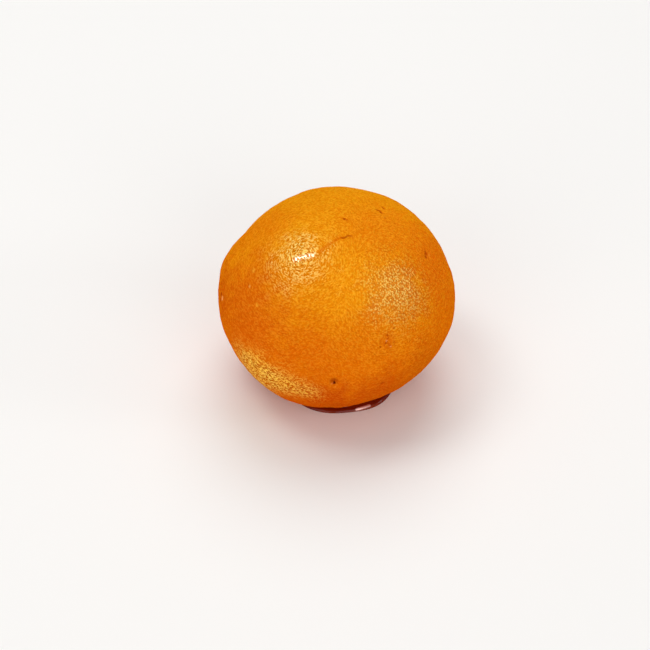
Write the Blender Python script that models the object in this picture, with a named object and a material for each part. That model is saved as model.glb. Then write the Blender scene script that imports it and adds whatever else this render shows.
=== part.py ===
"""Gulab jamun: one soft ball of milk dough, fried golden and soaked in syrup.

Metres, +Z up. The ball rests on the flat spot that its own weight gives it, and the
origin is on the floor under the middle of the ball. -Y is its front and +X its right.

The ball starts as a cube whose grid of vertices is pushed out to a sphere, with a finer
grid over its small features. Each vertex then slides along its own direction to the
radius that ball_radius() works out: a squat ellipsoid that leans a little, the broad
lumps that rolling by hand leaves, a shallow fold in the skin, and small pits and
blisters.
"""

import math
from functools import cache

import bmesh
import bpy
from mathutils import Matrix, Vector, noise
from mathutils.geometry import interpolate_bezier, intersect_point_line

MM = 0.001

# The round body, before its unevenness
WIDTH = 46.0 * MM
DEPTH = 45.4 * MM
ROUND_HEIGHT = 40.0 * MM
LEAN = math.radians(6.9)  # its short axis tips towards the left
SAG = 2.1 * MM  # how much of the round foot has gone flat
RADIUS = WIDTH / 2
FLOOR = SAG - ROUND_HEIGHT / 2  # the foot's height, from the middle of the ball

# The grid: quads along each edge of the starting cube, and how often small features halve it
GRID = 20
FINE_CUTS = 3
EDGE_SHARE = 0.7  # how long an edge may be, as a share of the small feature it crosses
FEATURE_REACH = 2.2  # how far the finer grid goes, in the feature's own sizes
RIM_SNAP = 0.35 * MM  # grid points this near the foot's rim slide onto it
SLIDES = 8

# Slow unevenness all over the surface
WAVE_HEIGHT = 0.10 * MM
WAVES = 2.6

# Lumps and flats: azimuth, elevation and reach in degrees, then height in metres.
# Azimuth 0 is the right (+X), 90 the back and -90 the front.
LUMPS = {
    "crown_corner": (109, 47, 11, 0.30 * MM),
    "back_shoulder_flat": (132, 40, 16, -0.34 * MM),
    "left_shoulder_dip": (156, 25, 12, -0.75 * MM),
    "left_shoulder_corner": (166, 16, 10, 0.26 * MM),
    "left_flank_flat": (-162, -20, 22, -0.63 * MM),
    "front_foot_bulge": (-119, -45, 20, 0.39 * MM),
    "right_foot_bulge": (-45, -38, 18, 0.18 * MM),
    "right_cheek": (-7, -8, 20, 0.47 * MM),
    "right_brow_flat": (18, 20, 16, -0.12 * MM),
    "front_brow": (-126, 55, 17, 0.22 * MM),
    "front_hollow": (-86, 40, 15, -0.16 * MM),
    "right_front_swell": (-48, 34, 18, 0.18 * MM),
    "back_swell": (62, 8, 24, 0.36 * MM),
    "back_flat": (104, -14, 22, -0.40 * MM),
    "back_foot_bulge": (48, -42, 20, 0.28 * MM),
}

# Folds near the crown, seen from above: the four X, Y control points of a curve in
# millimetres, then half the groove's width and its depth in metres, at its start and end
FOLDS = {
    "crimp": (
        ((3.2, -5.5), (2.5, -5.0), (1.4, -6.5), (0.7, -5.7)),
        (0.34 * MM, 0.40 * MM),
        (0.26 * MM, 0.30 * MM),
    ),
    "soft_fold": (
        ((0.1, -6.0), (-0.8, -6.8), (-2.3, -7.5), (-3.6, -9.8)),
        (0.55 * MM, 0.75 * MM),
        (0.18 * MM, 0.05 * MM),
    ),
}
CROWN_RADIUS = 20.4 * MM  # from the middle of the ball to the skin round the folds
FOLD_SAMPLES = 12
LIP_SHARE = 0.25  # the skin on both sides of a fold stands up by this much of its depth
LIP_PLACE = 2.1  # in half widths from the fold's middle

# Pits: azimuth and elevation in degrees, radius and depth in metres
PITS = {
    "front_pit": (-90.2, -3.7, 0.55 * MM, 0.62 * MM),
    "right_dent": (-10.9, 37.8, 0.85 * MM, 0.24 * MM),
    "crown_pit": (-28.9, 83.2, 0.50 * MM, 0.24 * MM),
    "crown_speck": (19.2, 63.5, 0.50 * MM, 0.18 * MM),
    "foot_dent": (-65.7, -11.2, 0.75 * MM, 0.22 * MM),
    "left_pit": (-167.4, 9.5, 0.55 * MM, 0.26 * MM),
    "back_pit": (83.0, 24.0, 0.60 * MM, 0.50 * MM),
    "back_dent": (128.0, -6.0, 0.90 * MM, 0.26 * MM),
    "right_back_pit": (34.0, -12.0, 0.55 * MM, 0.40 * MM),
}

# Blisters: low bubbles of skin in a ring round a pricked one, at this azimuth and elevation
BLISTER_PLACE = (-62.9, 15.2)
BLISTER_COUNT = 5
BLISTER_RING = 0.95 * MM
BLISTER_RADIUS = 0.46 * MM
BLISTER_HEIGHT = 0.17 * MM

SKIN_COLOUR = (0.75, 0.205, 0.003, 1.0)
SKIN_ROUGHNESS = 0.36


@cache
def direction(azimuth, elevation):
    """The unit vector that points from the ball's middle at these angles, in degrees."""
    turn, rise = math.radians(azimuth), math.radians(elevation)
    flat = math.cos(rise)
    return Vector((flat * math.cos(turn), flat * math.sin(turn), math.sin(rise)))


def apart(way, other):
    """How far apart two near directions are on the skin, in metres."""
    return (way - other).length * RADIUS


def bell(distance, reach):
    """1 at no distance, falling smoothly to almost nothing at twice the reach."""
    return math.exp(-((distance / reach) ** 2))


def blend(pair, share):
    """The value that lies this share of the way from the pair's first to its second."""
    return pair[0] + (pair[1] - pair[0]) * share


def body_radius(way):
    """The radius of the smooth, squat, leaning body."""
    leaned = Matrix.Rotation(LEAN, 3, "Y") @ way
    halves = (WIDTH / 2, DEPTH / 2, ROUND_HEIGHT / 2)
    return 1 / math.sqrt(sum((part / half) ** 2 for part, half in zip(leaned, halves)))


def lump_height(way):
    total = WAVE_HEIGHT * noise.noise(way * WAVES)
    for azimuth, elevation, reach, height in LUMPS.values():
        angle = math.degrees(way.angle(direction(azimuth, elevation)))
        total += height * bell(angle, reach)
    return total


@cache
def fold_line(name):
    """The directions along a fold, from its start to its end."""
    controls = [Vector(point) * MM for point in FOLDS[name][0]]
    line = []
    for x, y in interpolate_bezier(*controls, FOLD_SAMPLES):
        line.append(Vector((x, y, math.sqrt(CROWN_RADIUS**2 - x**2 - y**2))).normalized())
    return line


def fold_height(way, name):
    """The groove of one fold, and the lips that stand up beside it."""
    line = fold_line(name)
    _, widths, depths = FOLDS[name]
    distance, along = RADIUS, 0.0
    for index, (start, end) in enumerate(zip(line, line[1:])):
        share = min(max(intersect_point_line(way, start, end)[1], 0.0), 1.0)
        gap = apart(way, start.lerp(end, share))
        if gap < distance:
            distance, along = gap, (index + share) / (len(line) - 1)
    width, depth = blend(widths, along), blend(depths, along)
    lip = LIP_SHARE * bell(distance - LIP_PLACE * width, width)
    return depth * (lip - bell(distance, width))


def pit_height(way):
    total = 0.0
    for azimuth, elevation, radius, depth in PITS.values():
        total -= depth * bell(apart(way, direction(azimuth, elevation)), radius)
    return total


@cache
def blister_ring():
    """The directions of the blisters, evenly spaced round their middle."""
    middle = direction(*BLISTER_PLACE)
    aside = middle.orthogonal().normalized() * (BLISTER_RING / RADIUS)
    turns = [math.tau * number / BLISTER_COUNT for number in range(BLISTER_COUNT)]
    return [(middle + Matrix.Rotation(turn, 3, middle) @ aside).normalized() for turn in turns]


def blister_height(way):
    prick = bell(apart(way, direction(*BLISTER_PLACE)), BLISTER_RADIUS)
    bubbles = sum(bell(apart(way, blister), BLISTER_RADIUS) for blister in blister_ring())
    return BLISTER_HEIGHT * (bubbles - prick)


def ball_radius(way):
    """How far the skin is from the ball's middle in this direction."""
    folds = sum(fold_height(way, name) for name in FOLDS)
    return body_radius(way) + lump_height(way) + folds + pit_height(way) + blister_height(way)


def unit_sphere():
    """A cube with GRID quads along each edge, pushed out so that its quads are nearly even."""
    ball = bmesh.new()
    bmesh.ops.create_cube(ball, size=2.0)
    bmesh.ops.subdivide_edges(ball, edges=ball.edges[:], cuts=GRID - 1, use_grid_fill=True)
    for vertex in ball.verts:
        vertex.co = Vector(math.tan(part * math.pi / 4) for part in vertex.co).normalized()
    return ball


def small_features():
    """The direction and size of each place that needs a finer grid."""
    spots = [(direction(*pit[:2]), pit[2]) for pit in PITS.values()]
    spots += [(blister, BLISTER_RADIUS) for blister in blister_ring()]
    for name, (_, widths, _) in FOLDS.items():
        line = fold_line(name)
        spots += [(way, blend(widths, number / len(line))) for number, way in enumerate(line)]
    return spots


def refine(ball):
    """Cuts the quads over small features in four, until their edges are short beside the feature."""
    edge_length = RADIUS * math.pi / 2 / GRID
    for _ in range(FINE_CUTS):
        spots = [(way, size) for way, size in small_features() if edge_length > EDGE_SHARE * size]
        chosen = set()
        for face in ball.faces:
            middle = face.calc_center_median().normalized()
            if any(apart(middle, way) < FEATURE_REACH * size + edge_length / 2 for way, size in spots):
                chosen.update(face.edges)
        bmesh.ops.subdivide_edges(
            ball, edges=list(chosen), cuts=1, use_grid_fill=True, use_single_edge=True
        )
        for vertex in ball.verts:
            vertex.co.normalize()
        edge_length /= 2


def settle_on_rim(ball):
    """Slides the grid points that are near the foot's rim up or down onto it."""
    for vertex in ball.verts:
        way = vertex.co.copy()
        if abs(ball_radius(way) * way.z - FLOOR) > RIM_SNAP:
            continue
        for _ in range(SLIDES):
            way.z = FLOOR / ball_radius(way)
            way.xy *= math.sqrt(1 - way.z**2) / way.xy.length
        vertex.co = way


def flatten_foot(ball):
    """Cuts the ball off level at the floor, and closes it with a flat fan of faces."""
    cut = bmesh.ops.bisect_plane(
        ball,
        geom=ball.verts[:] + ball.edges[:] + ball.faces[:],
        dist=0.01 * MM,
        plane_co=(0, 0, FLOOR),
        plane_no=(0, 0, 1),
        clear_inner=True,
    )
    rim = [piece for piece in cut["geom_cut"] if isinstance(piece, bmesh.types.BMEdge)]
    for edge in rim:
        edge.smooth = False
        for vertex in edge.verts:
            vertex.co.z = FLOOR
    foot = bmesh.ops.contextual_create(ball, geom=rim)["faces"]
    bmesh.ops.poke(ball, faces=foot)


def stand_on_origin(ball):
    """Moves the ball so that the origin is under the middle of its box, on the floor."""
    low = Vector(min(vertex.co[axis] for vertex in ball.verts) for axis in range(3))
    high = Vector(max(vertex.co[axis] for vertex in ball.verts) for axis in range(3))
    shift = -Vector(((low.x + high.x) / 2, (low.y + high.y) / 2, low.z))
    bmesh.ops.translate(ball, verts=ball.verts[:], vec=shift)


def skin_material():
    skin = bpy.data.materials.new("syrup_soaked_skin")
    skin.use_nodes = True
    shader = skin.node_tree.nodes["Principled BSDF"]
    shader.inputs["Base Color"].default_value = SKIN_COLOUR
    shader.inputs["Roughness"].default_value = SKIN_ROUGHNESS
    shader.inputs["Metallic"].default_value = 0.0
    skin.diffuse_color = SKIN_COLOUR
    return skin


def make_gulab_jamun():
    ball = unit_sphere()
    refine(ball)
    settle_on_rim(ball)
    for vertex in ball.verts:
        vertex.co *= ball_radius(vertex.co)
    flatten_foot(ball)
    stand_on_origin(ball)
    bmesh.ops.triangulate(ball, faces=ball.faces[:])
    bmesh.ops.recalc_face_normals(ball, faces=ball.faces[:])
    for face in ball.faces:
        face.smooth = True
    mesh = bpy.data.meshes.new("gulab_jamun")
    ball.to_mesh(mesh)
    ball.free()
    mesh.materials.append(skin_material())
    gulab_jamun = bpy.data.objects.new("gulab_jamun", mesh)
    bpy.context.scene.collection.objects.link(gulab_jamun)


for old in list(bpy.data.objects):
    bpy.data.objects.remove(old)
make_gulab_jamun()
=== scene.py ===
import math

import bpy
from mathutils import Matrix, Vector
from mathutils.kdtree import KDTree


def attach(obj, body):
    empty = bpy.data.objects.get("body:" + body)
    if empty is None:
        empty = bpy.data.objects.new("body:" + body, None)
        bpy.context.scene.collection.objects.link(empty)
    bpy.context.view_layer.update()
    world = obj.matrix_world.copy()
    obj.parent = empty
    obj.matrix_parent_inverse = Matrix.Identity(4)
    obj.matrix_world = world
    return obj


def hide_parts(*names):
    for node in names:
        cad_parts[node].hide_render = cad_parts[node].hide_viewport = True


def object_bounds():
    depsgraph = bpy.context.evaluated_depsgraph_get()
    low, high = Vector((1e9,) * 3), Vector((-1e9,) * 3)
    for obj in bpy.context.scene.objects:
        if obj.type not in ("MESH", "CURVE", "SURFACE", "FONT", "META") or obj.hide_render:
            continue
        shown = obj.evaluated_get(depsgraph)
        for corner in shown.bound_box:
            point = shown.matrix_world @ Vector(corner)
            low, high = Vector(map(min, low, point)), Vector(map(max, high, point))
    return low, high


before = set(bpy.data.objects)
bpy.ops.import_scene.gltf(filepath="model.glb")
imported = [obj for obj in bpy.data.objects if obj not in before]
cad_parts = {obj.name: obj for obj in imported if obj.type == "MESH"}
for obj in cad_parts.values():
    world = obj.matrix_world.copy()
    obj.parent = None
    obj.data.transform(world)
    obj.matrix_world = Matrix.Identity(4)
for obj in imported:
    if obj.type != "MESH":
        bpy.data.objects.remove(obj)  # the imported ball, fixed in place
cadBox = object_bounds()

mm = 0.001
ballMiddle = Vector((-0.26, 0.0, 17.9)) * mm  # the middle of the round body
ballRadius = 21.5 * mm  # on average
print("frame loaded", [round(sideShade / mm, 1) for sideShade in cadBox[1] - cadBox[0]])


# hands: selecting, editing, applying

def pickOnly(thing):
    for other in bpy.context.selected_objects:
        other.select_set(False)
    thing.select_set(True)
    bpy.context.view_layer.objects.active = thing


def editWith(thing, chosen, kind="VERT"):
    # goes into edit mode with only these vertices or faces selected; None means all of them
    pickOnly(thing)
    bpy.ops.object.mode_set(mode="EDIT")
    bpy.ops.mesh.select_mode(type=kind)
    bpy.ops.mesh.select_all(action="SELECT" if chosen is None else "DESELECT")
    if chosen is not None:
        bpy.ops.object.mode_set(mode="OBJECT")
        pieces = thing.data.vertices if kind == "VERT" else thing.data.polygons
        for index in chosen:
            pieces[index].select = True
        bpy.ops.object.mode_set(mode="EDIT")


def doneEditing():
    bpy.ops.object.mode_set(mode="OBJECT")


def modify(thing, kind, **settings):
    # adds a modifier and applies it straight away
    pickOnly(thing)
    modifier = thing.modifiers.new(kind.lower(), kind)
    for name, value in settings.items():
        setattr(modifier, name, value)
    bpy.ops.object.modifier_apply(modifier=modifier.name)


def settle(thing):
    # leaves the object at the origin, with its place in its mesh
    pickOnly(thing)
    bpy.ops.object.transform_apply(location=True, rotation=True, scale=True)


# places on the ball

def wayTo(azimuth, elevation):
    # a direction from the ball's middle: azimuth 0 is right, -90 the front, in degrees
    turn = math.radians(azimuth)
    rise = math.radians(elevation)
    return Vector((math.cos(rise) * math.cos(turn), math.cos(rise) * math.sin(turn), math.sin(rise)))


def wayOf(spot):
    # the direction from the ball's middle to a spot
    return (spot - ballMiddle).normalized()


def bell(distance, reach):
    # 1 at no distance, and almost nothing at twice the reach
    return math.exp(-((distance / reach) ** 2))


def alongPath(points, share):
    # the point at this share of a path's length
    lengths = [math.dist(a, b) for a, b in zip(points, points[1:])]
    left = share * sum(lengths)
    for a, b, length in zip(points, points[1:], lengths):
        if left <= length:
            return Vector(a).lerp(Vector(b), left / length if length else 0.0)
        left -= length
    return Vector(points[-1])


# shader sums: a socket that can stand in a Python expression

class Flow:
    def __init__(self, paint, socket):
        self.paint = paint
        self.socket = socket

    def do(self, operation, *others):
        return self.paint.maths(operation, self, *others)

    def __add__(self, other):
        return self.do("ADD", other)

    def __mul__(self, other):
        return self.do("MULTIPLY", other)

    def __sub__(self, other):
        return self.do("SUBTRACT", other)

    def __rsub__(self, other):
        return self.paint.maths("SUBTRACT", other, self)

    __radd__ = __add__
    __rmul__ = __mul__


class Paint:
    # one material and the nodes in it
    def __init__(self, name):
        self.material = bpy.data.materials.new(name)
        self.material.use_nodes = True
        self.tree = self.material.node_tree
        self.shader = self.tree.nodes["Principled BSDF"]
        self.output = self.tree.nodes["Material Output"]

    def node(self, kind, settings=None, values=None, out=0):
        made = self.tree.nodes.new(kind)
        for name, value in (settings or {}).items():
            setattr(made, name, value)
        for place, value in (values or {}).items():
            self.plug(made.inputs[place], value)
        return Flow(self, made.outputs[out])

    def plug(self, socket, value):
        if isinstance(value, Flow):
            self.tree.links.new(value.socket, socket)
        elif isinstance(value, tuple) and socket.type == "RGBA":
            socket.default_value = (*value, 1)
        else:
            socket.default_value = value

    def fill(self, shader, **values):
        for name, value in values.items():
            self.plug(shader.inputs[name.replace("_", " ")], value)

    def maths(self, operation, *values):
        return self.node("ShaderNodeMath", {"operation": operation}, dict(enumerate(values)))

    def vector(self, operation, values, out=0):
        return self.node("ShaderNodeVectorMath", {"operation": operation}, values, out)

    def place(self):
        # object coordinates, in millimetres
        where = self.node("ShaderNodeTexCoord", out="Object")
        return self.vector("SCALE", {0: where, "Scale": 1 / mm})

    def kept(self, name):
        # a value that the mesh keeps at each point
        return self.node("ShaderNodeAttribute", {"attribute_name": name}, out="Fac")

    def noise(self, where, size, detail=2.0, distortion=0.0, extra=None):
        # extra is a fourth coordinate, in millimetres as the place is
        values = {"Vector": where, "Scale": 1 / size, "Detail": detail, "Distortion": distortion}
        if extra is not None:
            values["W"] = extra
        return self.node("ShaderNodeTexNoise", {"noise_dimensions": "3D" if extra is None else "4D"}, values)

    def swing(self, where, size, detail=2.0):
        # noise that swings round zero
        return self.noise(where, size, detail) - 0.5

    def fromLine(self, where, start, end):
        # how far a place is from a straight line between two points
        start = Vector(start)
        line = Vector(end) - start
        offset = self.vector("SUBTRACT", {0: where, 1: tuple(start)})
        share = self.vector("DOT_PRODUCT", {0: offset, 1: tuple(line / line.length_squared)}, out="Value")
        share = share.do("MAXIMUM", 0.0).do("MINIMUM", 1.0)
        nearest = self.vector("SCALE", {0: tuple(line), "Scale": share})
        return self.vector("DISTANCE", {0: offset, 1: nearest}, out="Value")

    def ease(self, value, low, high, fromValue=0.0, toValue=1.0):
        # goes smoothly from one value to the other as value goes from low to high
        return self.node(
            "ShaderNodeMapRange", {"interpolation_type": "SMOOTHSTEP"},
            {"Value": value, "From Min": low, "From Max": high, "To Min": fromValue, "To Max": toValue},
        )

    def mix(self, share, first, second):
        return self.node("ShaderNodeMix", {"data_type": "RGBA"}, {0: share, 6: first, 7: second}, out=2)

    def tinted(self, share, colour, tint):
        return self.mix(share, colour, self.vector("MULTIPLY", {0: colour, 1: tint}))

    def bump(self, height):
        return self.node("ShaderNodeBump", {}, {"Strength": 1.0, "Distance": mm, "Height": height})

    def addGloss(self, share, **values):
        # lays a mirror-like shader over the first one
        gloss = self.node("ShaderNodeBsdfPrincipled")
        self.fill(gloss.socket.node, Metallic=1.0, **values)
        under = Flow(self, self.shader.outputs[0])
        mixed = self.node("ShaderNodeMixShader", {}, {0: share, 1: under, 2: gloss})
        self.plug(self.output.inputs["Surface"], mixed)


# camera

view = {
    "elevation": 41.0,  # degrees above the horizon
    "distance": 500 * mm,
    "pixelsAcross": 650,
    "focalPixels": 2587.0,
    "sensor": 36.0,
    "pixelRight": 11.25,  # the ball's middle is this far right of the view's middle
    "pixelUp": 32.8,
    "nearest": 10 * mm,  # nothing nearer than this is seen
}


def addCamera():
    rise = math.radians(view["elevation"])
    towards = Vector((0, math.cos(rise), -math.sin(rise)))
    upwards = Vector((0, math.sin(rise), math.cos(rise)))
    middle = (cadBox[0] + cadBox[1]) / 2
    perPixel = view["distance"] / view["focalPixels"]
    aim = middle - Vector((1, 0, 0)) * view["pixelRight"] * perPixel - upwards * view["pixelUp"] * perPixel
    bpy.ops.object.camera_add(location=middle - towards * view["distance"])
    camera = bpy.context.object
    camera.rotation_euler = (aim - camera.location).to_track_quat("-Z", "Y").to_euler()
    camera.data.sensor_width = view["sensor"]
    camera.data.lens = view["focalPixels"] / view["pixelsAcross"] * view["sensor"]
    camera.data.clip_start = view["nearest"]
    bpy.context.scene.camera = camera


addCamera()
print("camera in place")


# skin: the fried, syrup-wet outside of the ball

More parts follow.
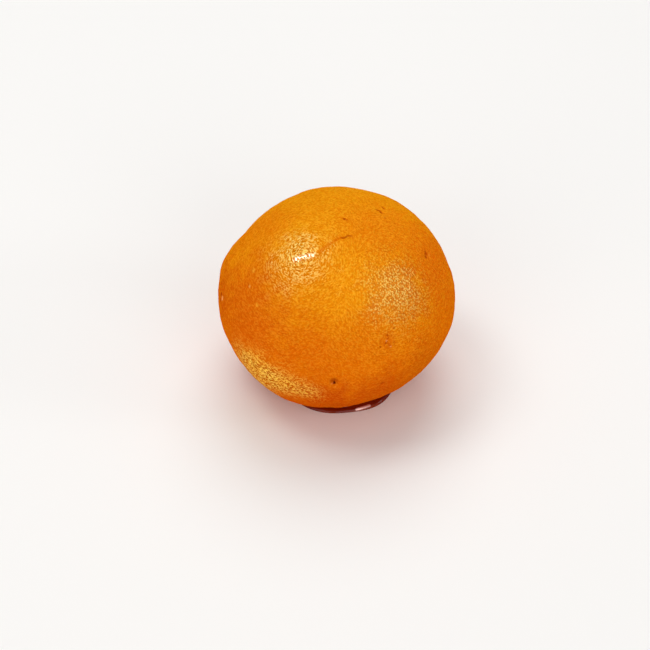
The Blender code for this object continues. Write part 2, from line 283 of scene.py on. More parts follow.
skin = {
    "name": "friedSkin",
    "roundRadius": 22.5 * mm,
    "cuts": (1, 2, 1, 1, 1, 1),  # how the starting cube is cut, rounded after each
    "wrapLevels": 2,  # how smooth the form is that the skin lies on
    "footHeight": 0.10 * mm,  # below this the skin lies flat on its foot
    # more cuts near the small features, each time within a smaller reach
    "fineCuts": 2,
    "fineReach": 2.2 * mm,
    "fineShrink": 0.6,
    "fineEvery": 6,  # only one in so many of a crease's spots is looked at
    # uneven relief, as pairs of size across and height, fading out above the foot
    "relief": ((7.0 * mm, 0.20 * mm), (2.6 * mm, 0.11 * mm), (1.2 * mm, 0.045 * mm)),
    "fadeFrom": 0.6 * mm,
    "fadeTo": 3.0 * mm,
    # folds of the dough: points seen from above in millimetres, then half the width
    # and the depth of the sharp core at both ends, how much painted shade darkens it, and which shade colour
    # it takes
    "creases": {
        "crimp": (
            (
                (3.25, -5.1), (2.9, -4.95), (2.5, -4.92), (1.95, -5.3),
                (1.5, -5.6), (1.25, -5.5), (1.05, -5.25),
            ),
            (0.13, 0.17), (0.11, 0.15), 0.75, "crease",
        ),
        "crimpLip": (
            ((2.9, -5.5), (2.4, -5.5), (1.9, -5.85), (1.4, -6.15)),
            (0.18, 0.18), (-0.06, -0.06), 0.0, "crease",
        ),
        "softFold": (
            (
                (1.3, -5.5), (0.8, -5.6), (0.2, -6.1), (-0.3, -6.5),
                (-1.0, -7.0), (-1.9, -7.6), (-2.7, -8.4), (-3.4, -9.3),
            ),
            (0.24, 0.40), (0.10, 0.10), 0.80, "fold",
        ),
        "softLip": (
            ((0.5, -6.7), (-0.4, -7.3), (-1.5, -8.1), (-2.3, -8.9), (-3.0, -9.9)),
            (0.26, 0.34), (-0.07, -0.09), 0.0, "fold",
        ),
        "fineFold": (
            ((3.3, -5.0), (4.2, -4.1), (5.2, -3.3), (6.1, -2.9), (7.0, -2.9)),
            (0.16, 0.24), (0.03, 0.02), 0.45, "fold",
        ),
        "crownDash": (((7.6, 3.55), (8.4, 3.4), (8.8, 2.65)), (0.22, 0.19), (0.06, 0.05), 1.00, "crease"),
        "crownDashBack": (((8.7, 5.0), (9.2, 4.4)), (0.20, 0.18), (0.05, 0.04), 0.95, "crease"),
        "crownDashFront": (((9.1, 1.8), (9.3, 1.1)), (0.16, 0.15), (0.04, 0.02), 0.45, "crease"),
        "rightDent": (
            ((15.93, -1.99), (16.03, -2.27), (16.09, -2.64), (16.07, -3.09), (15.99, -3.66)),
            (0.23, 0.25), (0.12, 0.12), 0.80, "crease",
        ),
    },
    "crownRadius": 20.4 * mm,
    "creaseSteps": 60,
    "creaseReach": 2.5 * mm,
    "creaseStart": (6.0, 0.3),  # how fast a crease deepens from its start, and its share there
    "creaseEnd": (4.0, 0.1),
    "creaseShadeSpread": (1.3, 1.2),  # a crease's painted shade is this much fuller and wider than its core
    # pits: azimuth, elevation, radius and depth of the sharp core in millimetres
    "pits": {
        "frontPit": (-90.2, -4.6, 0.26, 0.30),
        "crownPit": (-16.5, 84.9, 0.28, 0.12),
        "crownSpeck": (19.2, 63.5, 0.30, 0.06),
        "footDent": (-65.7, -11.2, 0.30, 0.10),
        "leftPit": (-170.1, 9.3, 0.26, 0.12),
        "backPit": (83.0, 24.0, 0.30, 0.20),
        "backDent": (128.0, -6.0, 0.45, 0.10),
        "rightBackPit": (34.0, -12.0, 0.28, 0.16),
        "blister": (-62.9, 15.2, 0.30, 0.10),
    },
    "pitReach": 2.0 * mm,
    # sizes and detail of the broad, medium and fine unevenness of the finish,
    # and how far each of them shifts the change of colour from foot to crown
    "unevenness": ((9.0, 2), (2.8, 3), (0.6, 2)),
    "levelShifts": (0.45, 0.45, 0.25),
    "toneWobble": 8.0,  # how far the edges of tones and wet patches wander, in millimetres
    "markWobble": 0.4,  # how far the edges of marks wander
    "markWobbleSize": 0.4,
    # painted shade and light: darker at the foot, lighter up to the crown
    "foot": (0.62, 0.085, 0.001),
    "sideShade": (0.75, 0.162, 0.001),
    "crown": (0.87, 0.288, 0.003),
    "footToSide": (-0.75, 0.20),
    "sideToCrown": (0.0, 0.85),
    "creaseShadeColour": (0.48, 0.070, 0.001),
    "foldShadeColour": (0.76, 0.175, 0.001),
    # the grain's painted light and shade: its ridges are painted lighter than its valleys, more so higher up
    # and less in a fold
    "valleyShade": (0.88, 0.74, 0.60),
    "ridgeLight": (1.10, 1.24, 1.60),
    "grainLevels": (0.25, 0.75),
    "grainShift": 1.5,
    "grainShare": (-0.4, 0.8, 0.45, 1.0),
    "grainLostInFold": 0.6,
    # heights of the grain's two parts and their sizes, in millimetres
    "ridgeHeight": 0.30,
    "ridgeSize": 0.26,
    "pebbleHeight": 0.14,
    "pebbleSize": 0.40,
    "pebbleSoftness": 0.4,
    "pebbleTop": 0.95,
    # the grain runs in arcs round these places
    "arcCentres": ((-122.8, 58.4), (-46.3, 38.3)),
    "arcStretch": 1.8,
    # and turns into round pebbles near this one: azimuth, elevation, radius and soft edge, share
    "pebbled": (-46.3, 38.3, 3.0, 12.0, 0.8),
    # where the syrup lies wetter: azimuth, elevation, reach in millimetres, share of gloss,
    # and how clear rather than amber it is
    "wetPatches": (
        (-126.5, 56.0, 14.8, 0.19, 1.0),
        (-138.0, 63.0, 8.0, 0.10, 1.0),
        (-49.5, 36.5, 15.0, 0.21, 0.8),
        (-131.0, -8.0, 8.0, 0.20, 0.12),
        (-115.0, -12.0, 7.5, 0.15, 0.12),
        (-102.0, -17.0, 6.0, 0.09, 0.12),
        (80.0, 38.0, 13.0, 0.15, 0.8),
        (140.0, 24.0, 12.0, 0.13, 0.8),
        (18.0, 20.0, 9.0, 0.08, 0.8),
    ),
    # painted shade makes the valleys darker there, and less so between pebbles
    "wetValleyShade": (0.68, 0.54, 0.45),
    "wetDepth": (0.0, 0.30),
    "wetLevels": (0.30, 0.54),
    "wetLostInPebbles": 0.5,
    # where painted reflections make the ridges glitter like gold over painted shade in the valleys: azimuth,
    # elevation, reach in millimetres, share
    "paintedGlitter": (
        (-134.5, -13.0, 9.4, 1.6),
        (-138.0, -29.0, 8.0, 1.1),
        (-118.5, -11.8, 7.4, 1.2),
        (-105.0, -13.0, 5.6, 0.70),
    ),
    "glitterTopReflection": (1.0, 0.68, 0.12),
    "glitterValleyShade": (0.48, 0.095, 0.001),
    "glitterMost": 0.9,
    "glitterWobble": 5.0,
    "glitterBreaks": (-0.15, 0.1, 0.55, 1.0),
    "glitterLevels": (0.44, 0.56),
    # the gloss breaks up into flecks on the ridges' tops, less sharply on pebbles
    "fleckLevels": (0.46, 0.60),
    "fleckShares": (0.02, 2.75),
    "pebbleFlecks": (0.35, -0.55),
    "drySkin": 0.035,  # share of gloss where the skin is driest
    "amberGloss": (1.0, 0.60, 0.06),
    "clearGloss": (1.0, 0.78, 0.24),
    "clearFrom": (0.01, 0.15),
    "rimGloss": (1.0, 0.55, 0.12),
    "grainRough": 0.48,
    # a smooth wet streak between the ridges: its ends, radius and soft edge
    "streak": ((-129.0, 55.4), (-115.0, 61.0), 0.1, 1.1),
    "streakGloss": (1.0, 0.86, 0.62),
    "streakRough": 0.22,
    "streakShare": 0.065,
    "streakSmooth": 0.8,
    # how light goes a little way in and comes out redder
    "glow": {
        "Subsurface_Weight": 0.15,
        "Subsurface_Scale": 0.8 * mm,
        "Subsurface_Radius": (1.0, 0.45, 0.15),
    },
    # broad tones, many of them painted shade at the edges and the foot and painted light at the front and
    # upper left, with a painted reflection low on the left: azimuth, elevation, radius and soft edge in
    # millimetres, colour, share
    "tones": {
        # painted shade towards the left, right and upper right edges
        "leftPaintedShade": (-142.0, 15.0, 3.0, 15.0, (0.71, 0.105, 0.002), 0.62),
        "leftEdgePaintedShade": (-170.0, 11.0, 1.0, 7.0, (0.64, 0.085, 0.001), 0.50),
        "rightPaintedShade": (-8.0, 30.0, 2.0, 13.0, (0.74, 0.120, 0.002), 0.65),
        "crownBlush": (-14.0, 62.0, 2.0, 13.0, (0.82, 0.190, 0.003), 0.55),
        # painted light at the front
        "frontPaintedLight": (-70.0, 44.0, 1.0, 11.0, (0.94, 0.330, 0.004), 0.60),
        "frontMiddle": (-74.0, 22.0, 1.0, 6.0, (0.76, 0.160, 0.001), 0.45),
        # painted shade on the upper left
        "upperLeftPaintedShade": (-150.0, 36.0, 1.0, 8.0, (0.72, 0.120, 0.001), 0.45),
        # painted light high on the left
        "leftPaintedLight": (-141.0, 63.0, 1.0, 8.0, (0.95, 0.380, 0.006), 0.50),
        "backLeftBlush": (172.0, 48.0, 2.0, 10.0, (0.76, 0.165, 0.002), 0.50),
        "frontBlush": (-102.0, 15.0, 1.0, 8.0, (0.74, 0.135, 0.001), 0.45),
        # painted shade low down at the foot
        "footBlush": (-65.0, -17.0, 1.0, 9.0, (0.56, 0.074, 0.001), 0.68),
        "frontFootPaintedShade": (-93.0, -19.0, 1.0, 7.5, (0.56, 0.060, 0.001), 0.70),
        "lowRightShade": (-40.0, -12.0, 2.0, 9.0, (0.58, 0.110, 0.001), 0.60),
        # painted reflection: a golden sheen low on the left
        "lowLeftShine": (-134.0, -8.0, 1.0, 7.0, (0.92, 0.300, 0.012), 0.45),
    },
    # small marks, most of them painted shade in pits, dents and round the blister, and painted highlights on
    # their lips: azimuth, elevation, radius and soft edge in millimetres, colour, share
    "marks": {
        # painted shade in and round the front pit, with painted highlights below it
        "frontPitShade": (-90.5, -3.1, 0.35, 1.15, (0.42, 0.065, 0.001), 0.70),
        "frontPitTopShade": (-90.1, -2.8, 0.02, 0.28, (0.20, 0.025, 0.001), 0.90),
        "frontPit": (-90.2, -5.1, 0.06, 0.30, (0.12, 0.012, 0.001), 0.95),
        "frontPitLipHighlight": (-91.2, -5.2, 0.02, 0.24, (0.85, 0.24, 0.08), 0.60),
        "frontPitShine": (-89.5, -6.9, 0.02, 0.28, (0.98, 0.34, 0.03), 0.60),
        # painted shade in the crown's pits
        "crownPit": (-15.6, 85.0, 0.08, 0.42, (0.44, 0.060, 0.001), 0.85),
        "crownPitSmall": (-19.9, 83.4, 0.06, 0.36, (0.54, 0.085, 0.001), 0.65),
        # painted shade in the right dent, with a painted highlight on its lip
        "rightDent": (-8.6, 37.2, 0.10, 0.42, (0.50, 0.080, 0.001), 0.75),
        "rightDentLowShade": (-11.2, 36.8, 0.10, 0.42, (0.50, 0.080, 0.001), 0.75),
        "rightDentLipHighlight": (-8.3, 35.3, 0.05, 0.45, (0.95, 0.30, 0.03), 0.60),
        # painted shade in the foot's dent
        "footDent": (-65.7, -11.2, 0.05, 0.45, (0.38, 0.060, 0.002), 0.7),
        # painted shade and painted highlights round the small bumps of the blister
        "blisterTopShade": (-62.7, 18.4, 0.05, 0.30, (0.36, 0.050, 0.001), 0.85),
        "blisterSideShade": (-62.9, 16.6, 0.05, 0.30, (0.40, 0.055, 0.001), 0.85),
        "blisterShine": (-63.6, 15.5, 0.05, 0.28, (1.00, 0.62, 0.20), 0.85),
        "blisterUnderShade": (-64.4, 14.6, 0.05, 0.30, (0.36, 0.050, 0.001), 0.85),
        "blisterRingShade": (-62.7, 13.1, 0.10, 0.42, (0.50, 0.075, 0.003), 0.80),
        "blisterRingLipHighlight": (-62.0, 12.2, 0.05, 0.26, (0.95, 0.42, 0.15), 0.60),
        "blisterLeftShade": (-67.2, 13.3, 0.05, 0.30, (0.42, 0.060, 0.001), 0.70),
        "blisterRightShade": (-60.2, 14.0, 0.05, 0.30, (0.42, 0.060, 0.001), 0.70),
        "blisterAboveShade": (-58.7, 20.6, 0.05, 0.28, (0.42, 0.060, 0.001), 0.75),
        "blisterFlush": (-62.9, 15.6, 0.60, 2.40, (0.68, 0.125, 0.002), 0.45),
        # painted shade in the left pit, with a painted highlight on its lip
        "leftPit": (-170.3, 9.6, 0.15, 0.60, (0.36, 0.035, 0.001), 0.9),
        "leftPitLowShade": (-169.0, 6.9, 0.15, 0.60, (0.42, 0.050, 0.001), 0.8),
        "leftPitLipHighlight": (-167.6, 9.2, 0.15, 0.60, (1.00, 0.40, 0.10), 0.9),
        "flecksHigh": (-154.0, 37.2, 0.15, 0.60, (0.95, 0.42, 0.03), 0.7),
        "flecksLow": (-137.5, 25.6, 0.15, 0.60, (0.92, 0.36, 0.02), 0.6),
        "leftSpeck": (-148.8, 30.2, 0.12, 0.42, (0.90, 0.42, 0.08), 0.7),
        # painted shade in the pits at the back
        "backPit": (83.0, 24.0, 0.15, 0.50, (0.14, 0.020, 0.001), 0.8),
        "rightBackPit": (34.0, -12.0, 0.15, 0.50, (0.20, 0.030, 0.001), 0.8),
    },
}


def creaseLine(points):
    # a crease's points, laid on the crown
    line = []
    for step in range(skin["creaseSteps"] + 1):
        spot = alongPath(points, step / skin["creaseSteps"]) * mm
        height = math.sqrt(skin["crownRadius"] ** 2 - spot.x**2 - spot.y**2)
        line.append(ballMiddle + Vector((spot.x, spot.y, height)))
    return line


def featureSpots():
    lines = [creaseLine(points) for points, *_ in skin["creases"].values()]
    spots = [spot for line in lines for spot in line[::skin["fineEvery"]]]
    spots += [ballMiddle + wayTo(*pit[:2]) * ballRadius for pit in skin["pits"].values()]
    return spots


def copyOfBall():
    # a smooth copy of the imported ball, for the skin to lie on
    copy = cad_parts["gulab_jamun"].copy()
    copy.data = copy.data.copy()
    copy.name = "ballForm"
    bpy.context.scene.collection.objects.link(copy)
    copy.parent = None
    editWith(copy, None)
    bpy.ops.mesh.remove_doubles(threshold=0.001 * mm)
    doneEditing()
    modify(copy, "SUBSURF", levels=skin["wrapLevels"], render_levels=skin["wrapLevels"])
    return copy


def roundCube():
    # a cube, cut and rounded again and again, so that its faces are all much the same size
    bpy.ops.mesh.primitive_cube_add(size=2 * skin["roundRadius"], location=ballMiddle)
    ball = bpy.context.object
    ball.name = skin["name"]
    for cuts in skin["cuts"]:
        editWith(ball, None)
        bpy.ops.mesh.subdivide(number_cuts=cuts)
        doneEditing()
        modify(ball, "CAST", factor=1.0, size=skin["roundRadius"], use_radius_as_size=False)
    settle(ball)
    return ball


def cutFiner(ball):
    # smaller faces near the creases, pits and blisters
    reach = skin["fineReach"]
    ways = [wayOf(spot) for spot in featureSpots()]
    for _ in range(skin["fineCuts"]):
        near = [
            face.index
            for face in ball.data.polygons
            if min((wayOf(face.center) - way).length for way in ways) * ballRadius < reach
        ]
        editWith(ball, near, "FACE")
        bpy.ops.mesh.subdivide(number_cuts=1)
        doneEditing()
        reach *= skin["fineShrink"]


def wrapSkin(ball):
    form = copyOfBall()
    modify(ball, "SHRINKWRAP", target=form, wrap_method="PROJECT", use_negative_direction=True)
    bpy.data.objects.remove(form)
    modify(ball, "SMOOTH", factor=0.5, iterations=2)


def roughen(ball):
    # low, uneven relief that fades out towards the foot
    group = ball.vertex_groups.new(name="aboveFoot")
    for vertex in ball.data.vertices:
        share = (vertex.co.z - skin["fadeFrom"]) / (skin["fadeTo"] - skin["fadeFrom"])
        group.add([vertex.index], min(max(share, 0.0), 1.0), "REPLACE")
    for number, (size, height) in enumerate(skin["relief"]):
        texture = bpy.data.textures.new(f"relief{number}", "CLOUDS")
        texture.noise_scale = size
        texture.noise_depth = 1
        modify(
            ball, "DISPLACE", texture=texture, texture_coords="LOCAL",
            strength=2 * height, mid_level=0.5, vertex_group="aboveFoot",
        )


def lineTree(line):
    # finds the nearest of a crease's spots
    tree = KDTree(len(line))
    for number, spot in enumerate(line):
        tree.insert(wayOf(spot) * ballRadius, number)
    tree.balance()
    return tree


def pressCreases(ball):
    # presses the sharp cores into the skin, and keeps how much painted shade lies round them, for creases
    # and for folds
    marks = {name: [0.0] * len(ball.data.vertices) for name in ("crease", "fold")}
    startRate, startShare = skin["creaseStart"]
    endRate, endShare = skin["creaseEnd"]
    fuller, wider = skin["creaseShadeSpread"]
    for points, widths, depths, shadeShare, kind in skin["creases"].values():
        tree = lineTree(creaseLine(points))
        for vertex in ball.data.vertices:
            way = wayOf(vertex.co)
            _, number, distance = tree.find(way * ballRadius)
            if distance >= skin["creaseReach"]:
                continue
            along = number / skin["creaseSteps"]
            width = (widths[0] + (widths[1] - widths[0]) * along) * mm
            depth = (depths[0] + (depths[1] - depths[0]) * along) * mm
            fade = min(1.0, startRate * along + startShare, endRate * (1 - along) + endShare)
            vertex.co -= way * depth * fade * bell(distance, width)
            # the painted shade along the crease
            share = shadeShare * min(fade * fuller, 1.0) * bell(distance, width * wider)
            marks[kind][vertex.index] = max(marks[kind][vertex.index], share)
    for name, values in marks.items():
        ball.data.attributes.new(name, "FLOAT", "POINT").data.foreach_set("value", values)


def pressPits(ball):
    for azimuth, elevation, radius, depth in skin["pits"].values():
        pit = wayTo(azimuth, elevation)
        for vertex in ball.data.vertices:
            way = wayOf(vertex.co)
            distance = (way - pit).length * ballRadius
            if distance < skin["pitReach"]:
                vertex.co -= way * depth * mm * bell(distance, radius * mm)


def pressFoot(ball):
    low = [vertex.index for vertex in ball.data.vertices if vertex.co.z < skin["footHeight"]]
    editWith(ball, low)
    bpy.ops.transform.resize(value=(1, 1, 0), center_override=(0, 0, 0))
    doneEditing()


def makeSkin():
    ball = roundCube()
    cutFiner(ball)
    wrapSkin(ball)
    roughen(ball)
    pressCreases(ball)
    pressPits(ball)
    pressFoot(ball)
    pickOnly(ball)
    bpy.ops.object.shade_smooth()
    return ball


def distanceFrom(paint, way, azimuth, elevation):
    # roughly the millimetres along the skin from a place on it
    mark = tuple(wayTo(azimuth, elevation))
    return paint.vector("DISTANCE", {0: way, 1: mark}, out="Value") * (ballRadius / mm)


def softPatch(paint, way, wobble, azimuth, elevation, reach):
    # 1 at a place on the skin, falling softly to 0 at its reach
    distance = distanceFrom(paint, way, azimuth, elevation) + wobble
    return paint.ease(distance, 0.0, reach, 1.0, 0.0)


def arcNoise(paint, where, way):
    # fine ridges that run in arcs round the wet centres
    first, second = (distanceFrom(paint, way, *centre) for centre in skin["arcCentres"])
    along = 1 / skin["arcStretch"]
    return paint.noise(
        paint.vector("SCALE", {0: where, "Scale": along}), skin["ridgeSize"], detail=1.5, distortion=0.5,
        extra=first.do("MINIMUM", second) * math.sqrt(1 - along**2),
    )


def skinTones(paint, way, level, wobble):
    # painted shade and light: darker at the foot and lighter up to the crown, then broad tones, many of them
    # painted shade at the edges and foot and painted light at the front
    colour = paint.mix(paint.ease(level, *skin["footToSide"]), skin["foot"], skin["sideShade"])
    colour = paint.mix(paint.ease(level, *skin["sideToCrown"]), colour, skin["crown"])
    for azimuth, elevation, radius, edge, toneColour, share in skin["tones"].values():
        distance = distanceFrom(paint, way, azimuth, elevation) + wobble
        colour = paint.mix(paint.ease(distance, radius, edge, share, 0.0), colour, toneColour)
    return colour


def skinMarks(paint, way, colour, wobble):
    # the small marks, many of them painted shade and painted highlights, and the share that is bare of them
    bare = 1.0
    for azimuth, elevation, radius, edge, markColour, share in skin["marks"].values():
        distance = distanceFrom(paint, way, azimuth, elevation) + wobble
        cover = paint.ease(distance, radius, edge, share, 0.0)
        colour = paint.mix(cover, colour, markColour)
        bare = bare * (1 - cover)
    return colour, bare


def skinRidges(paint, where, way, wobble):
    # the grain's ridges, which turn into pebbles near one place
    pebbles = paint.node(
        "ShaderNodeTexVoronoi", {"feature": "SMOOTH_F1"},
        {"Vector": where, "Scale": 1 / skin["pebbleSize"], "Smoothness": skin["pebbleSoftness"]},
    )
    *pebbledPlace, radius, edge, share = skin["pebbled"]
    pebbled = paint.ease(distanceFrom(paint, way, *pebbledPlace) + wobble, radius, edge, share, 0.0)
    arcs = arcNoise(paint, where, way)
    return arcs + pebbled * (skin["pebbleTop"] - pebbles - arcs), pebbles, pebbled


def wetPatches(paint, way, wobble):
    # how wet the skin is, and how clear that wetness is
    wet = clearness = 0.0
    for azimuth, elevation, reach, share, clarity in skin["wetPatches"]:
        soft = softPatch(paint, way, wobble, azimuth, elevation, reach)
        wet = wet + share * soft * soft
        clearness = clearness + clarity * share * soft * soft
    return wet, clearness


def shadeWetValleys(paint, colour, ridges, pebbled, clearness, bare):
    # painted shade: darker valleys where the skin is wet
    valleys = paint.ease(ridges, *skin["wetLevels"], 1.0, 0.0)
    share = paint.ease(clearness, *skin["wetDepth"]) * valleys * bare
    return paint.tinted(share * (1 - skin["wetLostInPebbles"] * pebbled), colour, skin["wetValleyShade"])


def skinPaintedGlitter(paint, way, colour, ridges, medium, bare):
    # painted reflection: gold tops over painted shade in the valleys
    paintedGlitter = 0.0
    for azimuth, elevation, reach, share in skin["paintedGlitter"]:
        soft = softPatch(paint, way, skin["glitterWobble"] * medium, azimuth, elevation, reach)
        paintedGlitter = paintedGlitter + share * soft * soft
    paintedGlitter = paintedGlitter.do("MINIMUM", skin["glitterMost"]) * paint.ease(medium, *skin["glitterBreaks"]) * bare
    tops = paint.ease(ridges, *skin["glitterLevels"])
    colour = paint.mix(paintedGlitter * tops, colour, skin["glitterTopReflection"])
    return paint.mix(paintedGlitter * (1 - tops), colour, skin["glitterValleyShade"])


def wetStreak(paint, way, wobble):
    start, end, radius, edge = skin["streak"]
    onBall = paint.vector("SCALE", {0: way, "Scale": ballRadius / mm})
    distance = paint.fromLine(onBall, wayTo(*start) * ballRadius / mm, wayTo(*end) * ballRadius / mm)
    return paint.ease(distance + wobble, radius, edge, 1.0, 0.0)


def glossFlecks(paint, ridges, pebbled):
    # the gloss on the ridges' tops
    lowShare, highShare = skin["fleckShares"]
    lowShift, highShift = skin["pebbleFlecks"]
    return paint.ease(
        ridges, *skin["fleckLevels"], lowShare + lowShift * pebbled, highShare + highShift * pebbled,
    )


def paintSkin():
    paint = Paint("syrupSoakedSkin")
    where = paint.place()
    fromMiddle = paint.vector("SUBTRACT", {0: where, 1: tuple(ballMiddle / mm)})
    way = paint.vector("NORMALIZE", {0: fromMiddle})
    up = paint.node("ShaderNodeSeparateXYZ", {}, {0: way}, out="Z")
    broad, medium, fine = (paint.swing(where, size, detail) for size, detail in skin["unevenness"])
    broadShift, mediumShift, fineShift = skin["levelShifts"]
    level = up + broadShift * broad + mediumShift * medium + fineShift * fine
    toneWobble = skin["toneWobble"] * medium
    markWobble = skin["markWobble"] * paint.swing(where, skin["markWobbleSize"])

    colour = skinTones(paint, way, level, toneWobble)
    colour, bare = skinMarks(paint, way, colour, markWobble)
    fold = paint.kept("fold")
    crease = paint.kept("crease")
    # painted shade in the folds and creases
    colour = paint.mix(fold, colour, skin["foldShadeColour"])
    colour = paint.mix(crease, colour, skin["creaseShadeColour"])
    bare = bare * (1 - fold) * (1 - crease)  # where nothing keeps the gloss away

    ridges, pebbles, pebbled = skinRidges(paint, where, way, toneWobble)
    # painted light on the grain's ridges and painted shade in its valleys
    grainShadeTint = paint.mix(paint.ease(ridges, *skin["grainLevels"]), skin["valleyShade"], skin["ridgeLight"])
    grainShadeShare = paint.ease(up + skin["grainShift"] * broad, *skin["grainShare"])
    colour = paint.tinted(grainShadeShare * (1 - skin["grainLostInFold"] * fold), colour, grainShadeTint)
    wet, clearness = wetPatches(paint, way, toneWobble)
    colour = shadeWetValleys(paint, colour, ridges, pebbled, clearness, bare)
    colour = skinPaintedGlitter(paint, way, colour, ridges, medium, bare)

    streak = wetStreak(paint, way, markWobble)
    height = skin["ridgeHeight"] * ridges - skin["pebbleHeight"] * pebbles
    bump = paint.bump(height * (1 - skin["streakSmooth"] * streak))
    paint.fill(paint.shader, Specular_IOR_Level=0.0, Base_Color=colour, Normal=bump, **skin["glow"])

    glossTint = paint.mix(paint.ease(clearness, *skin["clearFrom"]), skin["amberGloss"], skin["clearGloss"])
    flecks = glossFlecks(paint, ridges, pebbled)
    paint.addGloss(
        (wet + skin["drySkin"]) * flecks * bare + skin["streakShare"] * streak,
        Roughness=skin["grainRough"] + (skin["streakRough"] - skin["grainRough"]) * streak,
        Base_Color=paint.mix(streak, glossTint, skin["streakGloss"]),
        Specular_Tint=skin["rimGloss"], Normal=bump,
    )
    return paint.material


ball = makeSkin()
print("skin shaped", len(ball.data.polygons), "faces")
ball.data.materials.clear()
ball.data.materials.append(paintSkin())
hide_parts("gulab_jamun")
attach(ball, "root")
print("skin finished")


# syrup: the thin film that has run down round the foot

syrup = {
    "name": "syrupFilm",
    # in millimetres; the film starts as a ring, which is then moved to its own shape
    "ringRadius": 12.0,
    "tubeRadius": 1.0,
    "turns": 240,
    "rings": 24,
    "lift": 0.02,
    # the cut through it: radius and height under the ball, up along it and at the top
    "underBall": ((9.6, 0.02), (9.6, 0.25), (11.2, 0.62), (12.3, 1.10)),
    "topRadius": 12.9,
    "topHeight": 1.1,
    # then down to the outer edge: how far in from the edge, and share of the thickness
    "slope": ((0.9, 1.02), (0.45, 0.88), (0.12, 0.52)),
    "thickness": 0.75,
    "thinFrom": (12.2, 2.0),  # thinner where the edge's radius is less than these two together
    # the edge's radius, and how far it bulges: azimuth, reach in degrees, bulge
    "edge": 12.5,
    "bulges": ((-56, 25, 1.7), (-101, 28, 1.45), (20, 30, 0.3), (112, 25, 0.7), (178, 18, 0.4)),
    "sharpEdge": 50.0,  # degrees
    # dark inside, where the syrup is deep and painted shade lies under the ball, and lighter from the first
    # radius to the second, which wander
    "deepColour": (0.15, 0.008, 0.001),
    "rimColour": (0.26, 0.035, 0.002),
    "rimRadii": (13.7, 14.7),
    "rimWobble": 1.2,
    "rimWobbleSize": 2.5,
    "rippleSize": 1.8,
    "rippleHeight": 0.03,
    "rippleRough": (0.3, 0.7, 0.05, 0.12),
    "shine": 0.20,
    "glow": {
        "Subsurface_Weight": 0.2,
        "Subsurface_Scale": 0.8 * mm,
        "Subsurface_Radius": (1.0, 0.4, 0.1),
    },
    # one bright wet line along the film: its ends, radius and soft edge, share
    "glintStart": (4.05, -13.37, 0.5),
    "glintEnd": (6.5, -12.26, 0.5),
    "glintEdge": (0.10, 0.38, 0.9, 0.0),
    "glintColour": (0.84, 0.52, 0.47),
    "glintRough": 0.42,
}


def filmEdge(azimuth):
    total = syrup["edge"]
    for middle, reach, bulge in syrup["bulges"]:
        gap = (azimuth - middle + 180) % 360 - 180
        total += bulge * bell(gap, reach)
    return total


def filmProfile(edge):
    # radius and height round one cut through the film, from its outer edge inwards
    thinFrom, thinOver = syrup["thinFrom"]
    top = syrup["thickness"] * min(1.0, (edge - thinFrom) / thinOver)
    profile = [
        *syrup["underBall"],
        (syrup["topRadius"], max(syrup["topHeight"], top)),
        *((edge - inwards, top * share) for inwards, share in syrup["slope"]),
        (edge, syrup["lift"]),
    ]
    return profile[::-1]


def makeSyrup():
    bpy.ops.mesh.primitive_torus_add(
        major_radius=syrup["ringRadius"] * mm, minor_radius=syrup["tubeRadius"] * mm,
        major_segments=syrup["turns"], minor_segments=syrup["rings"],
    )
    film = bpy.context.object
    film.name = syrup["name"]
    for vertex in film.data.vertices:
        azimuth = math.degrees(math.atan2(vertex.co.y, vertex.co.x))
        around = math.hypot(vertex.co.x, vertex.co.y) - syrup["ringRadius"] * mm
        turn = math.atan2(vertex.co.z, around) / math.tau % 1.0  # 0 at the outer side, then over the top
        profile = filmProfile(filmEdge(azimuth))
        radius, height = alongPath([*profile, profile[0]], turn)
        vertex.co = Vector((
            radius * mm * math.cos(math.radians(azimuth)),
            radius * mm * math.sin(math.radians(azimuth)),
            height * mm,
        ))
    editWith(film, None)
    bpy.ops.mesh.normals_make_consistent(inside=False)
    doneEditing()
    pickOnly(film)
    bpy.ops.object.shade_smooth_by_angle(angle=math.radians(syrup["sharpEdge"]))
    return film


def paintSyrup():
    paint = Paint("darkSyrup")
    where = paint.place()
    flat = paint.vector("MULTIPLY", {0: where, 1: (1, 1, 0)})
    radius = paint.vector("LENGTH", {0: flat}, out="Value")
    wobble = syrup["rimWobble"] * paint.swing(where, syrup["rimWobbleSize"])
    rim = paint.ease(radius + wobble, *syrup["rimRadii"])
    ripple = paint.noise(where, syrup["rippleSize"], detail=1)
    bump = paint.bump(syrup["rippleHeight"] * ripple)
    paint.fill(
        paint.shader, Base_Color=paint.mix(rim, syrup["deepColour"], syrup["rimColour"]),
        Roughness=paint.ease(ripple, *syrup["rippleRough"]), Normal=bump,
        Specular_IOR_Level=syrup["shine"], **syrup["glow"],
    )
    fromGlint = paint.fromLine(where, syrup["glintStart"], syrup["glintEnd"])
    paint.addGloss(
        paint.ease(fromGlint, *syrup["glintEdge"]),
        Roughness=syrup["glintRough"], Base_Color=syrup["glintColour"],
    )
    return paint.material


film = makeSyrup()
film.data.materials.append(paintSyrup())
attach(film, "root")
print("syrup laid")


# floor and light

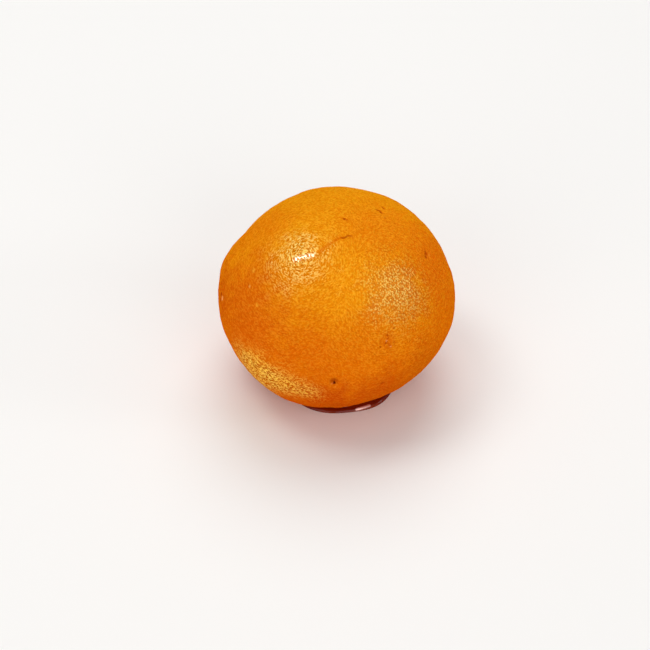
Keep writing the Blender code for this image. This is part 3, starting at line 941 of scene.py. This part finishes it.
studio = {
    "floorSize": 12.0,  # metres
    "floorColour": (0.92, 0.92, 0.92),
    "floorRough": 0.6,
    "sky": (1.0, 1.0, 1.0),
    "skyStrength": 0.375,
    # direction from the ball, distance, width and height in metres, watts, colour
    "lamps": {
        "keyLamp": ((-0.42, 0.12, 0.90), 0.60, 0.26, 0.26, 0.76, (1.0, 0.98, 0.95)),
        "sideLamp": ((0.924, -0.186, 0.336), 0.60, 0.18, 0.18, 0.42, (1.0, 0.98, 0.95)),
        "lowLamp": ((-0.72, -0.69, 0.06), 0.60, 0.30, 0.06, 0.38, (1.0, 0.86, 0.62)),
        "frontLeftLamp": ((-0.45, -0.80, 0.40), 1.00, 0.80, 0.80, 1.68, (1.0, 0.98, 0.95)),
        "frontRightLamp": ((0.40, -0.85, 0.35), 1.00, 0.80, 0.80, 2.75, (1.0, 0.98, 0.95)),
        "backLamp": ((0.05, 0.55, 0.83), 1.00, 0.80, 0.80, 4.0, (1.0, 0.98, 0.95)),
    },
}


def addFloor():
    bpy.ops.mesh.primitive_plane_add(size=studio["floorSize"])
    floor = bpy.context.object
    floor.name = "paleFloor"
    paint = Paint("paleFloorPaint")
    paint.fill(paint.shader, Base_Color=studio["floorColour"], Roughness=studio["floorRough"])
    floor.data.materials.append(paint.material)


def addLamps():
    for name, (way, distance, width, height, watts, colour) in studio["lamps"].items():
        towards = Vector(way).normalized()
        bpy.ops.object.light_add(type="AREA", location=ballMiddle + towards * distance)
        lamp = bpy.context.object
        lamp.name = name
        lamp.rotation_euler = towards.to_track_quat("Z", "Y").to_euler()
        lamp.data.shape = "ELLIPSE"
        lamp.data.size = width
        lamp.data.size_y = height
        lamp.data.energy = watts
        lamp.data.color = colour
        lamp.visible_camera = False


def addSky():
    world = bpy.data.worlds.new("studioWorld")
    world.use_nodes = True
    background = world.node_tree.nodes["Background"]
    background.inputs["Color"].default_value = (*studio["sky"], 1)
    background.inputs["Strength"].default_value = studio["skyStrength"]
    bpy.context.scene.world = world
    bpy.context.scene.view_settings.view_transform = "Standard"


addFloor()
addLamps()
addSky()
print("floor and light in place")
